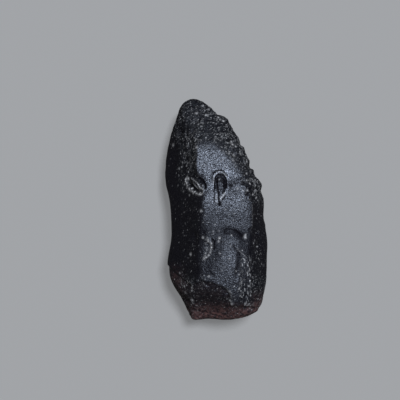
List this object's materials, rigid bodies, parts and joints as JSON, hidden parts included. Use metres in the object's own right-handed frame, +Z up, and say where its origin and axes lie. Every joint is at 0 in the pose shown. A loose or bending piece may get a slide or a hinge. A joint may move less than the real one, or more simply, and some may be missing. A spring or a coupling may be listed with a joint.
{
  "type": "tektite",
  "caption": "Elongated black natural glass stone with a blunt tip, a broken end, a smooth front face, etched grooves, pits and chipped edges, resting on a small flat spot.",
  "frame": {"origin": "middle of the stone's outline seen from the front, at the height of the surface that it rests on", "axes": "+Y runs along the stone to its blunt tip, +Z is up out of its front face, and the stone lies on its back"},
  "size_m": [0.0326, 0.0702, 0.0241],
  "materials": {
    "black_glass": "satin, etched and pitted"
  },
  "bodies": {
    "root": {"tektite": "black_glass"}
  },
  "joints": []
}
